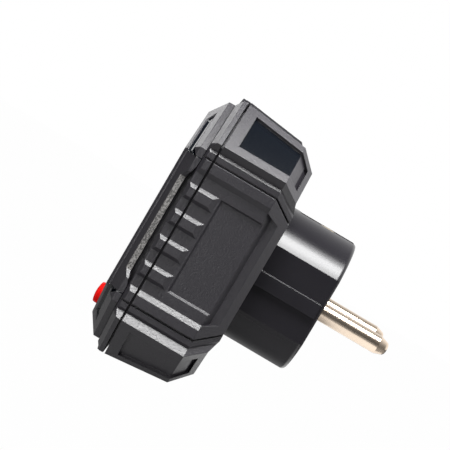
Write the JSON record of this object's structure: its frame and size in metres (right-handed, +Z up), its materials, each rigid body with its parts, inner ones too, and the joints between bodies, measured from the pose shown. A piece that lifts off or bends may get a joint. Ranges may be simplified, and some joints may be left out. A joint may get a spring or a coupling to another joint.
{
  "type": "socket tester",
  "caption": "Plug-in mains socket tester with a round side-earth plug, a display, indicator lamps and a red test button on an octagonal black case.",
  "frame": {"origin": "centre of the plug's engagement face, the flat round face that meets the bottom of the socket", "axes": "+Y into the wall, along the pins; +X across the front, to the right when seen from the user's side; +Z up the long side of the case, with the test button at the lower end"},
  "size_m": [0.064, 0.0702, 0.0716],
  "materials": {
    "case": "fine spark-eroded texture, black",
    "plug": "smooth satin black",
    "panel": "smooth, bare",
    "window": "clear",
    "display": "unlit display glass",
    "light_guide": "milky white",
    "lens": "frosted clear",
    "lamp": "clear resin",
    "button": "satin red",
    "switch": "moulded black",
    "board": "green solder mask",
    "screw": "zinc plated",
    "pin": "nickel plated, pale",
    "contact": "rolled strip",
    "capacitor": "moulded yellow",
    "resistor": "cement coated",
    "fuse": "moulded brown",
    "chip": "moulded black"
  },
  "bodies": {
    "case": {"rear_housing": "case", "front_cover": "case", "front_frame": "case", "front_panel": "panel", "display_window": "window", "lcd_module": "display", "lcd_holder": "light_guide", "lens_left": "lens", "lens_middle": "lens", "lens_right": "lens", "led_left": "lamp", "led_middle": "lamp", "led_right": "lamp", "test_switch": "switch", "main_board": "board", "board_screws": "screw", "housing_screws": "screw", "plug_screws": "screw", "plug_body": "plug", "live_pin": "pin", "neutral_pin": "pin", "live_strip": "contact", "neutral_strip": "contact", "earth_clip_upper": "contact", "earth_clip_lower": "contact", "earth_bridge": "contact", "supply_capacitor": "capacitor", "load_resistor_upper": "resistor", "load_resistor_lower": "resistor", "fuse": "fuse", "controller_chip": "chip"},
    "button": {"test_button": "button", "switch_plunger": "switch"}
  },
  "joints": [
    {"name": "test_button_press", "type": "slide", "parent": "case", "child": "button", "axis": [0, 1, 0], "range_m": [0, 0.001], "stiffness_N_per_m": 900, "springref_m": -0.0006}
  ]
}
